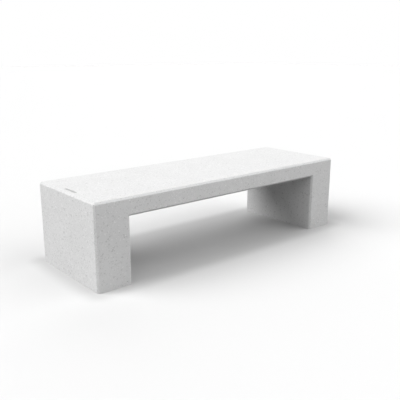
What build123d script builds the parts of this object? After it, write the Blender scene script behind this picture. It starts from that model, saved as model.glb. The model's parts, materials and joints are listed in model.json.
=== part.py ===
from build123d import *

import os

# A backless street bench: one precast terrazzo-concrete casting, and everything that is cast into it.
#
# The casting is a single pour in the shape of a portal, a seat slab carried by a leg at each end. Inside it
# are a steel reinforcing cage on small cement spacer blocks, and four threaded sockets in the base, for
# lifting the bench and for bolting it down. A small blank marker plate is let into the seat near the left
# end.
#
# Millimetres. +X runs along the bench, +Y from front to back, +Z up. The origin is on the ground, under the
# middle of the bench.

# The casting
LENGTH = 1800
WIDTH = 600
HEIGHT = 460
SEAT_THICKNESS = 100
LEG_THICKNESS = 200
EDGE_CHAMFER = 10

# The cage
COVER = 25  # concrete between a face and the nearest link
LINK_DIAMETER = 6
LINK_BEND = 15  # bend radii are to the bar's centre line
BAR_DIAMETER = 10
BAR_BEND = 40
BAR_INSET = 10.5  # from a link's centre line to the bars inside it, which clears the link's bends
BAR_END_COVER = 30
PORTAL_BARS = 5
SEAT_BARS = 5
SEAT_BAR_LENGTH = 1690
SEAT_BAR_SIDE_INSET = 24.5  # further in than BAR_INSET, to pass beside the outermost inner bars of the legs
LEG_INNER_BARS = 4
LEG_INNER_BAR_TOP = 410
SEAT_LINKS = 9
SEAT_LINK_PITCH = 160
HEAD_LINK_X = 790  # one more link at each end, over the leg
LEG_LINKS = 3
LEG_LINK_PITCH = 120
LOWEST_LEG_LINK_Z = 60

# The spacer blocks that held the cage off the mould
SPACER_SETBACK = 1  # the skin of concrete over a block's foot
SPACER_LENGTH = 20
SPACER_FOOT = 14
SPACER_HEAD = 24
SPACED_SEAT_LINKS = (1, 4, 7)
SPACED_LEG_LINKS = (0, 2)
OUTER_SPACER_Y = 196
INNER_SPACER_Y = 174

# The ground sockets, threaded M16
SOCKET_X = 800
SOCKET_Y = 200
SOCKET_DIAMETER = 22
SOCKET_LENGTH = 70
THREAD_DIAMETER = 13.84  # the thread's minor diameter
THREAD_DEPTH = 35
DRILL_POINT = 4
MOUTH_CHAMFER = 1.2
RECESS_DIAMETER = 32
RECESS_DEPTH = 5
ANCHOR_BAR_DIAMETER = 12
ANCHOR_BAR_LENGTH = 510
ANCHOR_BAR_HEIGHT = 55  # above a socket's mouth

# The marker plate
PLATE_LENGTH = 120
PLATE_WIDTH = 15
PLATE_THICKNESS = 2.5
PLATE_FROM_END = 37
PLATE_SET_DOWN = 0.3
PLATE_GAP = 0.5
PLATE_EDGE = 0.3
STUD_DIAMETER = 4
STUD_LENGTH = 20
STUD_SPACING = 80

# Worked out from the sizes above
SEAT_UNDERSIDE = HEIGHT - SEAT_THICKNESS
LEG_INNER_FACE = LENGTH / 2 - LEG_THICKNESS
LINK_INSET = COVER + LINK_DIAMETER / 2
LINK_SIDE = WIDTH / 2 - LINK_INSET
LINK_OUTER = LENGTH / 2 - LINK_INSET
LINK_INNER = LEG_INNER_FACE + LINK_INSET
LINK_TOP = HEIGHT - LINK_INSET
LINK_BOTTOM = SEAT_UNDERSIDE + LINK_INSET
BAR_SIDE = LINK_SIDE - BAR_INSET
PLATE_X = PLATE_FROM_END - LENGTH / 2
PLATE_TOP = HEIGHT - PLATE_SET_DOWN
PLATE_UNDERSIDE = PLATE_TOP - PLATE_THICKNESS
ENDS = {"left": -1, "right": 1}
SIDES = {"front": -1, "back": 1}


def evenly_spaced(count, reach):
    """Places from -reach to reach, evenly spaced."""
    return [reach * (2 * index / (count - 1) - 1) for index in range(count)]


def straight_bar(label, foot, direction, length, diameter):
    """A straight round bar that starts at foot."""
    with BuildPart() as bar:
        with BuildSketch(Plane(origin=foot, z_dir=direction)):
            Circle(diameter / 2)
        extrude(amount=length)
    bar.part.label = label
    return bar.part


def portal_bar(label, y):
    """A bar up the outside of one leg, along the top of the seat and down the outside of the other leg."""
    x = LINK_OUTER - BAR_INSET
    top = LINK_TOP - BAR_INSET
    with BuildPart() as bar:
        with BuildLine() as route:
            FilletPolyline(
                (-x, y, BAR_END_COVER), (-x, y, top), (x, y, top), (x, y, BAR_END_COVER),
                radius=BAR_BEND,
            )
        with BuildSketch(Plane(origin=route.line @ 0, z_dir=route.line % 0)):
            Circle(BAR_DIAMETER / 2)
        sweep(path=route.line)
    bar.part.label = label
    return bar.part


def closed_link(label, plane, width, height):
    """A rectangular link centred on a plane and lying in it, butt-welded in the middle of one side."""
    x = width / 2
    y = height / 2
    with BuildPart() as link:
        with BuildLine(plane) as route:
            FilletPolyline(
                (0, -y), (x, -y), (x, y), (-x, y), (-x, -y), (0, -y),
                radius=(0, LINK_BEND, LINK_BEND, LINK_BEND, LINK_BEND), close=True,
            )
        with BuildSketch(Plane(origin=route.line @ 0, z_dir=route.line % 0)):
            Circle(LINK_DIAMETER / 2)
        sweep(path=route.line)
    link.part.label = label
    return link.part


def seat_link(label, x):
    """A link round the bars of the seat, square to the bench's length."""
    middle = Plane(origin=(x, 0, (LINK_TOP + LINK_BOTTOM) / 2), x_dir=(0, 1, 0), z_dir=(1, 0, 0))
    return closed_link(label, middle, 2 * LINK_SIDE, LINK_TOP - LINK_BOTTOM)


def leg_link(label, end, z):
    """A level link round the bars of one leg."""
    middle = Plane(origin=(end * (LINK_OUTER + LINK_INNER) / 2, 0, z), x_dir=(0, 1, 0), z_dir=(0, 0, 1))
    return closed_link(label, middle, 2 * LINK_SIDE, LINK_OUTER - LINK_INNER)


def spacer_blocks(label, places):
    """Blocks tied under straight runs of links, each tapering from a grooved head to a foot near the mould.

    A place is a point on a link's centre line, and the direction from there to the mould. The links run
    along Y.
    """
    foot = LINK_INSET - SPACER_SETBACK
    with BuildPart() as blocks:
        for seat, to_mould in places:
            with BuildSketch(Plane(origin=seat, x_dir=to_mould, z_dir=(0, 1, 0))):
                with BuildLine():
                    Polyline(
                        (0, -SPACER_HEAD / 2),
                        (foot, -SPACER_FOOT / 2),
                        (foot, SPACER_FOOT / 2),
                        (0, SPACER_HEAD / 2),
                        close=True,
                    )
                make_face()
                Circle(LINK_DIAMETER / 2, mode=Mode.SUBTRACT)
            extrude(amount=SPACER_LENGTH / 2, both=True)
    blocks.part.label = label
    return blocks.part


def seat_spacers():
    """Under the bottom run of three of the seat's links."""
    link_x = evenly_spaced(SEAT_LINKS, SEAT_LINK_PITCH * (SEAT_LINKS - 1) / 2)
    places = [
        ((link_x[number], side * OUTER_SPACER_Y, LINK_BOTTOM), (0, 0, -1))
        for number in SPACED_SEAT_LINKS
        for side in SIDES.values()
    ]
    return spacer_blocks("seat_spacer_blocks", places)


def leg_spacers(end_name, end):
    """On the outer and the inner run of two of a leg's links."""
    places = []
    for number in SPACED_LEG_LINKS:
        z = LOWEST_LEG_LINK_Z + number * LEG_LINK_PITCH
        for side in SIDES.values():
            places.append(((end * LINK_OUTER, side * OUTER_SPACER_Y, z), (end, 0, 0)))
            places.append(((end * LINK_INNER, side * INNER_SPACER_Y, z), (-end, 0, 0)))
    return spacer_blocks(f"{end_name}_leg_spacer_blocks", places)


def ground_socket(label, x, y):
    """A round steel socket with a blind threaded hole in its foot, and a cross hole for the anchor bar."""
    with BuildPart() as socket:
        with BuildSketch(Plane.XY.offset(RECESS_DEPTH)):
            with Locations((x, y)):
                Circle(SOCKET_DIAMETER / 2)
        extrude(amount=SOCKET_LENGTH)
        with BuildSketch(Plane(origin=(x, y, RECESS_DEPTH), x_dir=(1, 0, 0), z_dir=(0, -1, 0))):
            with BuildLine():
                Polyline(
                    (0, 0),
                    (THREAD_DIAMETER / 2 + MOUTH_CHAMFER, 0),
                    (THREAD_DIAMETER / 2, MOUTH_CHAMFER),
                    (THREAD_DIAMETER / 2, THREAD_DEPTH),
                    (0, THREAD_DEPTH + DRILL_POINT),
                    close=True,
                )
            make_face()
        revolve(axis=Axis((x, y, 0), (0, 0, 1)), mode=Mode.SUBTRACT)
        with BuildSketch(Plane(origin=(x, y, RECESS_DEPTH + ANCHOR_BAR_HEIGHT), z_dir=(0, 1, 0))):
            Circle(ANCHOR_BAR_DIAMETER / 2)
        extrude(amount=SOCKET_DIAMETER, both=True, mode=Mode.SUBTRACT)
    socket.part.label = label
    return socket.part


def marker_plate():
    """A blank plate with round ends and two studs behind it, its top a hair below the seat's."""
    with BuildPart() as plate:
        with BuildSketch(Plane.XY.offset(PLATE_UNDERSIDE)):
            with Locations((PLATE_X, 0)):
                SlotOverall(PLATE_LENGTH, PLATE_WIDTH, rotation=90)
        extrude(amount=PLATE_THICKNESS)
        chamfer(plate.faces().sort_by(Axis.Z)[-1].edges(), PLATE_EDGE)
        with BuildSketch(Plane.XY.offset(PLATE_UNDERSIDE)):
            with Locations((PLATE_X, -STUD_SPACING / 2), (PLATE_X, STUD_SPACING / 2)):
                Circle(STUD_DIAMETER / 2)
        extrude(amount=-STUD_LENGTH)
    plate.part.label = "marker_plate"
    return plate.part


def concrete_body(cast_in):
    """The casting, with a void in it for each piece that was cast in."""
    end = LENGTH / 2
    with BuildPart() as body:
        with BuildSketch(Plane.XZ):
            with BuildLine():
                Polyline(
                    (-end, 0),
                    (-end, HEIGHT),
                    (end, HEIGHT),
                    (end, 0),
                    (LEG_INNER_FACE, 0),
                    (LEG_INNER_FACE, SEAT_UNDERSIDE),
                    (-LEG_INNER_FACE, SEAT_UNDERSIDE),
                    (-LEG_INNER_FACE, 0),
                    close=True,
                )
            make_face()
        extrude(amount=WIDTH / 2, both=True)
        # The edges left sharp are those round the feet, which are trowelled, and the two inside corners,
        # where the seat meets the legs.
        foot_edges = body.edges().group_by(Axis.Z)[0]
        inside_corners = body.edges().filter_by(Axis.Y).filter_by_position(
            Axis.Z, SEAT_UNDERSIDE, SEAT_UNDERSIDE
        )
        sharp_edges = foot_edges + inside_corners
        chamfer([edge for edge in body.edges() if edge not in sharp_edges], EDGE_CHAMFER)
        with BuildSketch():
            with GridLocations(2 * SOCKET_X, 2 * SOCKET_Y, 2, 2):
                Circle(RECESS_DIAMETER / 2)
        extrude(amount=RECESS_DEPTH, mode=Mode.SUBTRACT)
        with BuildSketch():
            with GridLocations(2 * SOCKET_X, 2 * SOCKET_Y, 2, 2):
                Circle(SOCKET_DIAMETER / 2)
        extrude(amount=RECESS_DEPTH + SOCKET_LENGTH, mode=Mode.SUBTRACT)
        with BuildSketch(Plane.XY.offset(PLATE_UNDERSIDE)):
            with Locations((PLATE_X, 0)):
                SlotOverall(PLATE_LENGTH + 2 * PLATE_GAP, PLATE_WIDTH + 2 * PLATE_GAP, rotation=90)
        extrude(amount=PLATE_THICKNESS + PLATE_SET_DOWN, mode=Mode.SUBTRACT)
        add(cast_in, mode=Mode.SUBTRACT)
    body.part.label = "concrete_body"
    return body.part


def cage():
    """The reinforcement: the long bars first, then the links round them."""
    pieces = []
    for number, y in enumerate(evenly_spaced(PORTAL_BARS, BAR_SIDE), 1):
        pieces.append(portal_bar(f"portal_bar_{number}", y))
    for number, y in enumerate(evenly_spaced(SEAT_BARS, LINK_SIDE - SEAT_BAR_SIDE_INSET), 1):
        foot = (-SEAT_BAR_LENGTH / 2, y, LINK_BOTTOM + BAR_INSET)
        label = f"seat_bottom_bar_{number}"
        pieces.append(straight_bar(label, foot, (1, 0, 0), SEAT_BAR_LENGTH, BAR_DIAMETER))
    for number, x in enumerate(evenly_spaced(SEAT_LINKS, SEAT_LINK_PITCH * (SEAT_LINKS - 1) / 2), 1):
        pieces.append(seat_link(f"seat_link_{number}", x))
    for end_name, end in ENDS.items():
        pieces.append(seat_link(f"{end_name}_head_link", end * HEAD_LINK_X))
        for number, y in enumerate(evenly_spaced(LEG_INNER_BARS, BAR_SIDE), 1):
            foot = (end * (LINK_INNER + BAR_INSET), y, BAR_END_COVER)
            length = LEG_INNER_BAR_TOP - BAR_END_COVER
            label = f"{end_name}_leg_inner_bar_{number}"
            pieces.append(straight_bar(label, foot, (0, 0, 1), length, BAR_DIAMETER))
        for number in range(LEG_LINKS):
            z = LOWEST_LEG_LINK_Z + number * LEG_LINK_PITCH
            pieces.append(leg_link(f"{end_name}_leg_link_{number + 1}", end, z))
    return pieces


def ground_sockets():
    """A socket in each corner of the base, and through each leg's pair the bar that anchors them."""
    pieces = []
    for end_name, end in ENDS.items():
        for side_name, side in SIDES.items():
            label = f"{side_name}_{end_name}_socket"
            pieces.append(ground_socket(label, end * SOCKET_X, side * SOCKET_Y))
        foot = (end * SOCKET_X, -ANCHOR_BAR_LENGTH / 2, RECESS_DEPTH + ANCHOR_BAR_HEIGHT)
        label = f"{end_name}_anchor_bar"
        pieces.append(straight_bar(label, foot, (0, 1, 0), ANCHOR_BAR_LENGTH, ANCHOR_BAR_DIAMETER))
    return pieces


cast_in = cage() + ground_sockets() + [seat_spacers(), marker_plate()]
for end_name, end in ENDS.items():
    cast_in.append(leg_spacers(end_name, end))

os.makedirs("parts", exist_ok=True)
for piece in [concrete_body(cast_in)] + cast_in:
    export_step(piece, f"parts/{piece.label}.step")
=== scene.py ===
"""The looks of a backless street bench: one precast terrazzo casting with a blank marker plate in its seat.

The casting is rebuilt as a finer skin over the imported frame's own block: chamfers with eased arrises, small
air holes as formed concrete has them, and pockets for the plate and the sockets. Everything else is the
frame's own node with a better material. Metres, in the frame's axes: +X along the bench, +Y from front to
back, +Z up.
"""

import json
import math
import random

import bmesh
import bpy
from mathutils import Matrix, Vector, noise


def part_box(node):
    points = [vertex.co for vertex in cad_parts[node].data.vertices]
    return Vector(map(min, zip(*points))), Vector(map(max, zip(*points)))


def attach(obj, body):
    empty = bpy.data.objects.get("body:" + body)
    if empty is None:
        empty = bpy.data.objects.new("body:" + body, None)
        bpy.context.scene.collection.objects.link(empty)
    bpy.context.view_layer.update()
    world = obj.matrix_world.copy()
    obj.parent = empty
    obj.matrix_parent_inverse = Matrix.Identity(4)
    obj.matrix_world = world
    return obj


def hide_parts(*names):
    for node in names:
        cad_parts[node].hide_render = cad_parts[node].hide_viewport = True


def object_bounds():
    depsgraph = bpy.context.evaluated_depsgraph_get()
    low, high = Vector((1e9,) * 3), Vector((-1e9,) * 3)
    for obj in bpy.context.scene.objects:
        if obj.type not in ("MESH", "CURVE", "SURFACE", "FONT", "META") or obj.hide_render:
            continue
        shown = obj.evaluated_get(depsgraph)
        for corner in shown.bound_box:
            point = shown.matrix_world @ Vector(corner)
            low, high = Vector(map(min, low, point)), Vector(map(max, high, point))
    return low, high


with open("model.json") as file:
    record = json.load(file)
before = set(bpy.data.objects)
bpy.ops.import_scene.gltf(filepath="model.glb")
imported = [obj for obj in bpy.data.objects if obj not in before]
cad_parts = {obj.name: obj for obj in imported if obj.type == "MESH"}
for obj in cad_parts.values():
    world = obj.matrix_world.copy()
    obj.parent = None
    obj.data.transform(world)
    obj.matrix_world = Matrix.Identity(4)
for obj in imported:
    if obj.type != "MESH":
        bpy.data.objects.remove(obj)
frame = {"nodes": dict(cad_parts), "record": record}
cad_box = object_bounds()

MM = 0.001

# The casting. Its length, width and height are the frame's.
SEAT_THICKNESS = 100 * MM
LEG_THICKNESS = 200 * MM
EDGE_CHAMFER = 10 * MM
ARRIS_EASING = 1.2 * MM
ARRIS_SEGMENTS = 3
ROUND_PROFILE = 0.5
GRID = 20 * MM  # the skin's face size, which divides every size of the casting
TOLERANCE = 0.01 * MM
FLAT_ANGLE = 1  # the most degrees between two faces that lie in one plane
SMOOTH_ANGLE = 25  # the most degrees between two faces that are shaded as one

# The wear of the arrises
ARRIS_WEAR = 0.25 * MM
WEAR_NICK = 9 * MM  # the length of one nick
WEAR_STRETCH = 60 * MM  # the length of a stretch that is more or less worn
WEAR_STRETCH_SHARE = 0.35

# The air holes that formed concrete has in its faces. Their room, rings, depth and raggedness are shares of a
# hole's radius.
AIR_HOLE_SEED = 7
AIR_HOLE_SHARE = 0.06  # of the grid's faces
AIR_HOLE_SHARE_ON_TOP = 0.012
AIR_HOLE_LEAST_RADIUS = 0.7 * MM
AIR_HOLE_MOST_RADIUS = 2.6 * MM
AIR_HOLE_SKEW = 2.5  # above 1, more of the holes are small
AIR_HOLE_ROOM = 1.5  # from a hole's middle to the edge of its face, at least
AIR_HOLE_CORNERS = 8  # two for each corner of its face
AIR_HOLE_FIRST_TURN = 225  # degrees, towards the face's first corner
AIR_HOLE_RINGS = ((1, 0), (0.86, 0.4), (0.5, 0.72))  # the radius and the depth of each
AIR_HOLE_DEPTH = 0.82
AIR_HOLE_RAGGEDNESS = 0.14

# The pockets for the plate and the sockets
PLATE_THICKNESS = 2.5 * MM
PLATE_GAP = 0.5 * MM
RECESS_RADIUS = 16 * MM
RECESS_DEPTH = 5 * MM
POCKET_CORNERS = 64
POCKET_OVERRUN = 5 * MM  # how far a cutter stands out of the casting

# Most of a noise's values lie between these.
NOISE_RANGE = (0.3, 0.7)

# The terrazzo
CEMENT_TONES = (0.573, 0.603)
CEMENT_CLOUD = 220 * MM
CEMENT_SAND = 2.5 * MM
CEMENT_RELIEF = 0.12 * MM
CEMENT_BUMP = 0.5
CEMENT_ROUGHNESS = (0.72, 0.86)
CHIP_WOBBLE = 0.25  # how far a chip's outline strays, as a share of the cell
CHIP_WOBBLE_SIZE = 0.5  # how long one such bend is, as a share of the cell
CHIP_EDGE = 0.4 * MM
CHIP_GLOSS = 0.25  # how much less rough a chip is than the cement
CHIP_RELIEF = 0.6  # how far a chip stands proud, as a share of the sand's relief
# For each size of chip: the cell that holds one, the share of cells that do, the least and the most cement
# between the cell's border and the chip, and the chip's darkest and palest tone
CHIPS = (
    (6 * MM, 0.50, 0.5 * MM, 1.4 * MM, 0.45, 0.71),
    (10 * MM, 0.42, 1.4 * MM, 2.8 * MM, 0.44, 0.64),
    (18 * MM, 0.16, 4.5 * MM, 6.6 * MM, 0.42, 0.50),
)

# The bare steel of the plate and the sockets. A brush is the size of the steel's marks along X, Y and Z.
PLATE_TONE = 0.42
PLATE_BRUSH = (0.5 * MM, 60 * MM, 0.5 * MM)
PLATE_ROUGHNESS = (0.40, 0.55)
PLATE_RELIEF = 0.01 * MM
SOCKET_TONE = 0.6
SOCKET_BRUSH = (4 * MM, 4 * MM, 1 * MM)
SOCKET_ROUGHNESS = (0.35, 0.5)
SOCKET_RELIEF = 0.03 * MM
STEEL_BUMP = 0.4
STEEL_PATCH = 40 * MM
STEEL_DULLNESS = 0.82  # the tone of a dull patch, as a share of the steel's
STEEL_DULL_RANGE = (0.1, 0.4)  # the shine at which a patch is dullest, and at which it isn't dull

# The reinforcing bars
MILL_SCALE = (0.06, 0.058, 0.06, 1)
RUST = (0.16, 0.07, 0.035, 1)
RUST_PATCH = 25 * MM
RUST_RANGE = (0.45, 0.62)  # the noise's values at which rust starts, and at which it is full
BAR_ROUGHNESS = (0.45, 0.85)  # without rust, and with it
BAR_METALLIC = (0.8, 0.1)
BAR_BUMP = 0.6
RIB_PITCH = 7 * MM
RIB_HEIGHT = 0.5 * MM
RUST_HEIGHT = 0.3  # as a share of a rib's
BAND_RATE = 10  # radians of a diagonal band wave's phase for each unit along an axis, at a scale of 1

# The cement spacers
SPACER_TONES = (0.30, 0.42)
SPACER_CLOUD = 12 * MM
SPACER_GRAIN = 1.5 * MM
SPACER_ROUGHNESS = (0.8, 0.95)
SPACER_RELIEF = 0.2 * MM
SPACER_BUMP = 0.6

# The camera, which looks along +Y at a yaw of 0, and level at a pitch of 0. Its lens is in millimetres.
CAMERA_PLACE = (-2.1257, -2.5402, 1.1482)
CAMERA_YAW = -39.929
CAMERA_PITCH = -14.975
CAMERA_LENS = 50

# The lights, as in a studio with large soft boxes: for each one its azimuth from +X towards +Y, its elevation
# and its width in degrees, and its strength
LIGHTS = {
    "key": (156, 44, 50, 3.5),
    "fill": (-150, 38, 45, 1.0),
    "back": (50, 23, 55, 1.1),
    "front": (-44, 27, 78, 2.55),
}

# The floor, with a painted shadow that makes it darker close to the bench, and which throws less light back
# at it than its tone would
FLOOR_SIDE = 80  # metres
# the tone right at the bench's foot, darkened as a painted contact shadow
FLOOR_PAINTED_SHADOW_TONE = 0.52
FLOOR_TONE_FAR = 0.665
FLOOR_BOUNCE_TONE = 0.28
PAINTED_SHADOW_REACH = 115 * MM  # how far from the bench's foot the painted shadow reaches, past which the floor gets its full tone
FLOOR_ROUGHNESS = 0.9


def portal_outline(low, high):
    """The casting's outline seen from the front, as (x, z) points."""
    inner = high.x - LEG_THICKNESS
    underside = high.z - SEAT_THICKNESS
    return [
        (low.x, low.z),
        (low.x, high.z),
        (high.x, high.z),
        (high.x, low.z),
        (inner, low.z),
        (inner, underside),
        (-inner, underside),
        (-inner, low.z),
    ]


def is_arris(edge):
    """Whether the block turns outwards at an edge."""
    return edge.is_convex and edge.calc_face_angle() > math.radians(FLAT_ANGLE)


def is_on_ground(edge):
    return all(vertex.co.z < TOLERANCE for vertex in edge.verts)


def bevel_edges(block, edges, size, segments):
    bmesh.ops.bevel(block, geom=edges, offset=size, segments=segments, affect="EDGES", profile=ROUND_PROFILE)


def closed_pairs(ring):
    """Each item of a closed ring with the one after it."""
    return zip(ring, ring[1:] + ring[:1])


def bridge(block, ring, other):
    """Joins two closed rings of vertices with a band of faces."""
    for (this, after), (other_this, other_after) in zip(closed_pairs(ring), closed_pairs(other)):
        block.faces.new((this, after, other_after, other_this))


def casting_block(low, high):
    """The casting with every edge above the ground chamfered, and then every arris eased."""
    block = bmesh.new()
    outline = portal_outline(low, high)
    front = [block.verts.new((x, low.y, z)) for x, z in outline]
    back = [block.verts.new((x, high.y, z)) for x, z in outline]
    block.faces.new(front)
    block.faces.new(reversed(back))
    for (front_this, front_after), (back_this, back_after) in zip(closed_pairs(front), closed_pairs(back)):
        block.faces.new((front_after, front_this, back_this, back_after))
    bmesh.ops.recalc_face_normals(block, faces=block.faces)
    chamfered = [edge for edge in block.edges if is_arris(edge) and not is_on_ground(edge)]
    bevel_edges(block, chamfered, EDGE_CHAMFER, 1)
    bevel_edges(block, [edge for edge in block.edges if is_arris(edge)], ARRIS_EASING, ARRIS_SEGMENTS)
    return block


def cut_grid(block, low, high):
    """Cuts every face into a grid, which the wear and the air holes are made in."""
    for axis in range(3):
        normal = Vector((0, 0, 0))
        normal[axis] = 1
        steps = round((high[axis] - low[axis]) / GRID)
        for step in range(1, steps):
            bmesh.ops.bisect_plane(
                block,
                geom=block.verts[:] + block.edges[:] + block.faces[:],
                plane_co=low + normal * GRID * step,
                plane_no=normal,
                dist=TOLERANCE,
            )


def wear_arrises(block):
    """Rubs the arrises above the ground back by a little that changes along them."""
    block.normal_update()
    worn = {}
    for vertex in block.verts:
        # Only the faces of an arris are this small.
        on_arris = any(face.calc_area() < GRID * ARRIS_EASING for face in vertex.link_faces)
        if on_arris and vertex.co.z > 2 * ARRIS_EASING:
            nick = noise.noise(vertex.co / WEAR_NICK)
            stretch = noise.noise(vertex.co / WEAR_STRETCH) * WEAR_STRETCH_SHARE
            worn[vertex] = vertex.co - vertex.normal * ARRIS_WEAR * max(0, nick + stretch)
    for vertex, place in worn.items():
        vertex.co = place


def air_hole_vertices(block, face, draw):
    """The rings of a small ragged bowl in a face, from the rim down, and its lowest vertex."""
    size = draw.random() ** AIR_HOLE_SKEW
    radius = AIR_HOLE_LEAST_RADIUS + (AIR_HOLE_MOST_RADIUS - AIR_HOLE_LEAST_RADIUS) * size
    across = (face.verts[1].co - face.verts[0].co).normalized()
    up = face.normal.cross(across)
    room = GRID / 2 - AIR_HOLE_ROOM * radius
    centre = face.calc_center_median() + across * draw.uniform(-room, room) + up * draw.uniform(-room, room)
    spokes = []
    for corner in range(AIR_HOLE_CORNERS):
        turn = math.radians(AIR_HOLE_FIRST_TURN + 360 * corner / AIR_HOLE_CORNERS)
        rag = 1 + draw.uniform(-AIR_HOLE_RAGGEDNESS, AIR_HOLE_RAGGEDNESS)
        spokes.append((across * math.cos(turn) + up * math.sin(turn)) * radius * rag)
    rings = []
    for share, depth in AIR_HOLE_RINGS:
        middle = centre - face.normal * radius * depth
        rings.append([block.verts.new(middle + spoke * share) for spoke in spokes])
    return rings, block.verts.new(centre - face.normal * radius * AIR_HOLE_DEPTH)


def make_air_hole(block, face, draw):
    """Sinks a bowl into one of the grid's faces."""
    rings, bottom = air_hole_vertices(block, face, draw)
    sides = closed_pairs(face.verts[:])
    block.faces.remove(face)
    towards_corners = rings[0][0::2]
    towards_sides = rings[0][1::2]
    for (here, after), (first, last), middle in zip(sides, closed_pairs(towards_corners), towards_sides):
        block.faces.new((here, after, middle))
        block.faces.new((here, middle, first))
        block.faces.new((after, last, middle))
    for outer, inner in zip(rings, rings[1:]):
        bridge(block, outer, inner)
    for this, after in closed_pairs(rings[-1]):
        block.faces.new((this, after, bottom))


def is_grid_square(face):
    """Whether no edge, chamfer or arris takes anything off a square of the grid."""
    return len(face.verts) == 4 and all(abs(edge.calc_length() - GRID) < TOLERANCE for edge in face.edges)


def make_air_holes(block):
    draw = random.Random(AIR_HOLE_SEED)
    block.normal_update()
    squares = [face for face in block.faces if is_grid_square(face)]
    for face in squares:
        share = AIR_HOLE_SHARE_ON_TOP if round(face.normal.z) == 1 else AIR_HOLE_SHARE
        if draw.random() < share:
            make_air_hole(block, face, draw)


def prism(name, outline, low_z, high_z):
    """A closed upright prism over an outline of (x, y) points."""
    solid = bmesh.new()
    lower = [solid.verts.new((x, y, low_z)) for x, y in outline]
    upper = [solid.verts.new((x, y, high_z)) for x, y in outline]
    solid.faces.new(reversed(lower))
    solid.faces.new(upper)
    bridge(solid, lower, upper)
    mesh = bpy.data.meshes.new(name)
    solid.to_mesh(mesh)
    solid.free()
    piece = bpy.data.objects.new(name, mesh)
    bpy.context.scene.collection.objects.link(piece)
    return piece


def stadium(centre, half_length, radius):
    """An outline with round ends, lying along Y. It is a circle where its half length is its radius."""
    points = []
    for corner in range(POCKET_CORNERS):
        # The half step makes the two ends alike.
        turn = 2 * math.pi * (corner + 0.5) / POCKET_CORNERS
        end = (half_length - radius) * (1 if math.sin(turn) > 0 else -1)
        points.append((centre.x + radius * math.cos(turn), centre.y + end + radius * math.sin(turn)))
    return points


def pocket_cutters(low, high):
    """Solids of what is let into the casting: the plate, and the sockets with their recesses."""
    plate_low, plate_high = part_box("marker_plate")
    half = (plate_high - plate_low) / 2
    outline = stadium((plate_low + plate_high) / 2, half.y + PLATE_GAP, half.x + PLATE_GAP)
    cutters = [prism("plate_pocket", outline, plate_high.z - PLATE_THICKNESS, high.z + POCKET_OVERRUN)]
    for name in frame["nodes"]:
        if name.endswith("_socket"):
            socket_low, socket_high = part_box(name)
            centre = (socket_low + socket_high) / 2
            radius = (socket_high.x - socket_low.x) / 2
            recess = stadium(centre, RECESS_RADIUS, RECESS_RADIUS)
            seat = stadium(centre, radius, radius)
            cutters.append(prism(name + "_recess", recess, low.z - POCKET_OVERRUN, low.z + RECESS_DEPTH))
            cutters.append(prism(name + "_seat", seat, low.z - POCKET_OVERRUN, socket_high.z))
    return cutters


def apply_modifiers(piece):
    """Puts the result of a piece's modifiers into its mesh."""
    shown = piece.evaluated_get(bpy.context.evaluated_depsgraph_get())
    mesh = bpy.data.meshes.new_from_object(shown)
    old = piece.data
    piece.modifiers.clear()
    piece.data = mesh
    bpy.data.meshes.remove(old)
    mesh.name = piece.name


def cut(piece, cutter):
    """Takes a cutter's shape out of a piece, and removes the cutter."""
    boolean = piece.modifiers.new(cutter.name, "BOOLEAN")
    boolean.operation = "DIFFERENCE"
    boolean.solver = "EXACT"
    boolean.object = cutter
    apply_modifiers(piece)
    bpy.data.objects.remove(cutter)


def shade_smooth(piece):
    """Shades the eased arrises as round, and keeps the flat faces flat."""
    for polygon in piece.data.polygons:
        polygon.use_smooth = True
    piece.data.set_sharp_from_angle(angle=math.radians(SMOOTH_ANGLE))
    weighted = piece.modifiers.new("weighted_normals", "WEIGHTED_NORMAL")
    weighted.keep_sharp = True
    apply_modifiers(piece)


def make_casting():
    low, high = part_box("concrete_body")
    block = casting_block(low, high)
    cut_grid(block, low, high)
    wear_arrises(block)
    make_air_holes(block)
    mesh = bpy.data.meshes.new("concrete_casting")
    block.to_mesh(mesh)
    block.free()
    casting = bpy.data.objects.new("concrete_casting", mesh)
    bpy.context.scene.collection.objects.link(casting)
    for cutter in pocket_cutters(low, high):
        cut(casting, cutter)
    shade_smooth(casting)
    casting.data.materials.append(terrazzo())
    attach(casting, "root")
    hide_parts("concrete_body")


def add_node(tree, kind, inputs=None, **settings):
    """A shader node. An input is a number or colour, or the output of another node."""
    node = tree.nodes.new(kind)
    for name, value in settings.items():
        setattr(node, name, value)
    for name, value in (inputs or {}).items():
        if isinstance(value, bpy.types.NodeSocket):
            tree.links.new(value, node.inputs[name])
        else:
            node.inputs[name].default_value = value
    return node


def new_material(name):
    """An empty material, and its node tree with an output and a Principled shader."""
    material = bpy.data.materials.new(name)
    material.use_nodes = True
    tree = material.node_tree
    tree.nodes.clear()
    shader = tree.nodes.new("ShaderNodeBsdfPrincipled")
    output = tree.nodes.new("ShaderNodeOutputMaterial")
    tree.links.new(shader.outputs["BSDF"], output.inputs["Surface"])
    return material, tree, shader


def grey(level):
    return (level, level, level, 1)


def object_coordinates(tree):
    """Places in the object's own axes, in metres, which are the frame's."""
    return add_node(tree, "ShaderNodeTexCoord").outputs["Object"]


def do_math(tree, operation, first, second):
    return add_node(tree, "ShaderNodeMath", {0: first, 1: second}, operation=operation).outputs[0]


def do_vector(tree, operation, first, second=(0, 0, 0)):
    return add_node(tree, "ShaderNodeVectorMath", {0: first, 1: second}, operation=operation).outputs[0]


def make_noise(tree, place, size, detail=2.0):
    """Soft noise from 0 to 1, with features of about the given size in metres."""
    node = add_node(tree, "ShaderNodeTexNoise", {"Vector": place, "Scale": 1 / size, "Detail": detail})
    return node.outputs["Fac"]


def remap(tree, value, low, high, to_low, to_high, smooth=False):
    node = add_node(
        tree, "ShaderNodeMapRange",
        {"Value": value, "From Min": low, "From Max": high, "To Min": to_low, "To Max": to_high},
        interpolation_type="SMOOTHSTEP" if smooth else "LINEAR",
    )
    return node.outputs["Result"]


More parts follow.
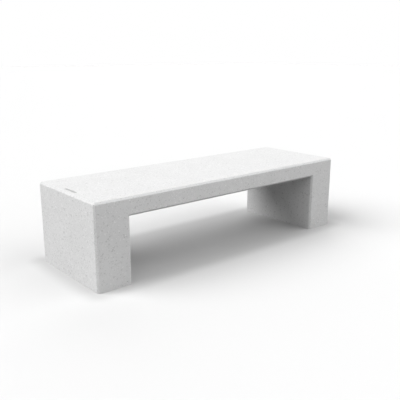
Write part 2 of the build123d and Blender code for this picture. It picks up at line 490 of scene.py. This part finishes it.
def mix_colours(tree, share, first, second):
    """The first colour at a share of 0, and the second at 1."""
    # Sockets 6, 7 and 2 are the node's colours. Its other sockets have the same names.
    node = add_node(tree, "ShaderNodeMix", {0: share, 6: first, 7: second}, data_type="RGBA")
    return node.outputs[2]


def add_bump(tree, shader, height, strength, distance):
    bump = add_node(tree, "ShaderNodeBump", {"Height": height, "Strength": strength, "Distance": distance})
    tree.links.new(bump.outputs["Normal"], shader.inputs["Normal"])


def stone_chips(tree, place, cell, share, least_rim, most_rim):
    """Angular chips scattered through the concrete, so that every face and chamfer cuts through them.

    Returns where they are, from 0 to 1, and a number from 0 to 1 that differs from chip to chip.
    """
    wobble_inputs = {"Vector": place, "Scale": 1 / (CHIP_WOBBLE_SIZE * cell), "Detail": 1.0}
    wobble = add_node(tree, "ShaderNodeTexNoise", wobble_inputs)
    shift = do_vector(tree, "MULTIPLY", wobble.outputs["Color"], (CHIP_WOBBLE * cell,) * 3)
    cell_inputs = {"Vector": do_vector(tree, "ADD", place, shift), "Scale": 1 / cell}
    cells = add_node(tree, "ShaderNodeTexVoronoi", cell_inputs)
    border = add_node(tree, "ShaderNodeTexVoronoi", cell_inputs, feature="DISTANCE_TO_EDGE")
    draws = add_node(tree, "ShaderNodeSeparateColor", {"Color": cells.outputs["Color"]})
    rim = remap(tree, draws.outputs[1], 0, 1, least_rim / cell, most_rim / cell)
    depth = do_math(tree, "SUBTRACT", border.outputs["Distance"], rim)
    shape = remap(tree, depth, 0, CHIP_EDGE / cell, 0, 1, smooth=True)
    there = do_math(tree, "LESS_THAN", draws.outputs[0], share)
    return do_math(tree, "MULTIPLY", shape, there), draws.outputs[2]


def terrazzo():
    """Light cement with dark and pale stone chips through it, ground flat and left matt."""
    material, tree, shader = new_material("terrazzo")
    place = object_coordinates(tree)
    clouds = remap(tree, make_noise(tree, place, CEMENT_CLOUD, detail=8.0), *NOISE_RANGE, 0, 1)
    dark_cement, pale_cement = CEMENT_TONES
    surface = mix_colours(tree, clouds, grey(dark_cement), grey(pale_cement))
    chips = 0
    for cell, share, least_rim, most_rim, dark, pale in CHIPS:
        there, draw = stone_chips(tree, place, cell, share, least_rim, most_rim)
        surface = mix_colours(tree, there, surface, mix_colours(tree, draw, grey(dark), grey(pale)))
        chips = do_math(tree, "MAXIMUM", there, chips)
    tree.links.new(surface, shader.inputs["Base Color"])
    sand = make_noise(tree, place, CEMENT_SAND, detail=4.0)
    roughness = remap(tree, sand, *NOISE_RANGE, *CEMENT_ROUGHNESS)
    gloss = do_math(tree, "MULTIPLY", chips, CHIP_GLOSS)
    tree.links.new(do_math(tree, "SUBTRACT", roughness, gloss), shader.inputs["Roughness"])
    height = do_math(tree, "ADD", sand, do_math(tree, "MULTIPLY", chips, CHIP_RELIEF))
    add_bump(tree, shader, height, CEMENT_BUMP, CEMENT_RELIEF)
    return material


def steel(name, tone, brush, roughness, relief):
    """Bare steel, with long marks along the way it was worked, and duller in patches."""
    material, tree, shader = new_material(name)
    shader.inputs["Metallic"].default_value = 1
    place = object_coordinates(tree)
    stretch = [1 / size for size in brush]
    stretched = add_node(tree, "ShaderNodeMapping", {"Vector": place, "Scale": stretch}).outputs[0]
    marks = make_noise(tree, stretched, 1, detail=4.0)
    shine = do_math(tree, "MULTIPLY", marks, make_noise(tree, place, STEEL_PATCH))
    bright = remap(tree, shine, *STEEL_DULL_RANGE, 0, 1)
    colour = mix_colours(tree, bright, grey(tone * STEEL_DULLNESS), grey(tone))
    tree.links.new(colour, shader.inputs["Base Color"])
    tree.links.new(remap(tree, marks, *NOISE_RANGE, *roughness), shader.inputs["Roughness"])
    add_bump(tree, shader, marks, STEEL_BUMP, relief)
    return material


def reinforcing_steel():
    """Dark mill scale with a bloom of rust, and ribs slanting across the bar."""
    material, tree, shader = new_material("reinforcing_steel")
    place = object_coordinates(tree)
    patches = make_noise(tree, place, RUST_PATCH, detail=5.0)
    rust = remap(tree, patches, *RUST_RANGE, 0, 1, smooth=True)
    tree.links.new(mix_colours(tree, rust, MILL_SCALE, RUST), shader.inputs["Base Color"])
    tree.links.new(remap(tree, rust, 0, 1, *BAR_ROUGHNESS), shader.inputs["Roughness"])
    tree.links.new(remap(tree, rust, 0, 1, *BAR_METALLIC), shader.inputs["Metallic"])
    ribs = add_node(
        tree, "ShaderNodeTexWave", {"Vector": place, "Scale": 2 * math.pi / (BAND_RATE * RIB_PITCH)},
        wave_type="BANDS", bands_direction="DIAGONAL", wave_profile="SIN",
    )
    height = do_math(tree, "ADD", ribs.outputs["Fac"], do_math(tree, "MULTIPLY", rust, RUST_HEIGHT))
    add_bump(tree, shader, height, BAR_BUMP, RIB_HEIGHT)
    return material


def spacer_cement():
    """Plain grey fibre cement, rough and finely pitted."""
    material, tree, shader = new_material("spacer_cement")
    place = object_coordinates(tree)
    cloud = make_noise(tree, place, SPACER_CLOUD, detail=4.0)
    dark, pale = SPACER_TONES
    tree.links.new(mix_colours(tree, cloud, grey(dark), grey(pale)), shader.inputs["Base Color"])
    tree.links.new(remap(tree, cloud, *NOISE_RANGE, *SPACER_ROUGHNESS), shader.inputs["Roughness"])
    grain = make_noise(tree, place, SPACER_GRAIN, detail=3.0)
    add_bump(tree, shader, grain, SPACER_BUMP, SPACER_RELIEF)
    return material


def dress_frame_nodes():
    """Gives the frame's own nodes their materials, by the record's slots."""
    by_slot = {
        "marker_plate": steel("dark_steel", PLATE_TONE, PLATE_BRUSH, PLATE_ROUGHNESS, PLATE_RELIEF),
        "socket_steel": steel("zinc_plate", SOCKET_TONE, SOCKET_BRUSH, SOCKET_ROUGHNESS, SOCKET_RELIEF),
        "reinforcing_steel": reinforcing_steel(),
        "spacer_cement": spacer_cement(),
    }
    for subpart in frame["record"]["subparts"]:
        if subpart["material_slot"] in by_slot:
            node = frame["nodes"][subpart["node"]]
            for slot in node.material_slots:
                slot.material = by_slot[subpart["material_slot"]]


def backdrop_paper():
    """Pale paper with a painted contact shadow near the bench's foot, which throws less light back than its
    tone would.
    """
    material, tree, shader = new_material("backdrop_paper")
    half_size = (cad_box[1] - cad_box[0]) / 2
    mirrored = do_vector(tree, "ABSOLUTE", object_coordinates(tree))
    outside = do_vector(tree, "MAXIMUM", do_vector(tree, "SUBTRACT", mirrored, half_size), (0, 0, 0))
    distance = add_node(tree, "ShaderNodeVectorMath", {0: outside}, operation="LENGTH").outputs["Value"]
    # A painted contact shadow: the floor's tone darkens towards the bench's foot.
    far = remap(tree, distance, 0, PAINTED_SHADOW_REACH, 0, 1, smooth=True)
    tone = mix_colours(tree, far, grey(FLOOR_PAINTED_SHADOW_TONE), grey(FLOOR_TONE_FAR))
    seen = add_node(tree, "ShaderNodeLightPath").outputs["Is Camera Ray"]
    tree.links.new(mix_colours(tree, seen, grey(FLOOR_BOUNCE_TONE), tone), shader.inputs["Base Color"])
    shader.inputs["Roughness"].default_value = FLOOR_ROUGHNESS
    return material


def make_floor():
    """A plain pale floor under the bench."""
    side = FLOOR_SIDE / 2
    corners = [(-side, -side, 0), (side, -side, 0), (side, side, 0), (-side, side, 0)]
    mesh = bpy.data.meshes.new("floor")
    mesh.from_pydata(corners, [], [(0, 1, 2, 3)])
    floor = bpy.data.objects.new("floor", mesh)
    bpy.context.scene.collection.objects.link(floor)
    mesh.materials.append(backdrop_paper())


def make_camera():
    camera = bpy.data.objects.new("camera", bpy.data.cameras.new("camera"))
    camera.data.lens = CAMERA_LENS
    camera.location = CAMERA_PLACE
    camera.rotation_euler = (math.radians(90 + CAMERA_PITCH), 0, math.radians(CAMERA_YAW))
    bpy.context.scene.collection.objects.link(camera)
    bpy.context.scene.camera = camera


def make_background():
    """White to the camera, and dark to everything else, so that only the lights light the bench."""
    world = bpy.data.worlds.new("background")
    world.use_nodes = True
    tree = world.node_tree
    shader = tree.nodes["Background"]
    shader.inputs["Color"].default_value = grey(1)
    seen = add_node(tree, "ShaderNodeLightPath").outputs["Is Camera Ray"]
    tree.links.new(seen, shader.inputs["Strength"])
    bpy.context.scene.world = world


def make_light(name, azimuth, elevation, width, strength):
    light = bpy.data.objects.new(name, bpy.data.lights.new(name, "SUN"))
    light.data.energy = strength
    light.data.angle = math.radians(width)
    light.rotation_euler = (0, math.radians(90 - elevation), math.radians(azimuth))
    bpy.context.scene.collection.objects.link(light)


make_casting()
dress_frame_nodes()
make_floor()
make_camera()
make_background()
for name, setting in LIGHTS.items():
    make_light(name, *setting)
bpy.context.scene.view_settings.view_transform = "Standard"
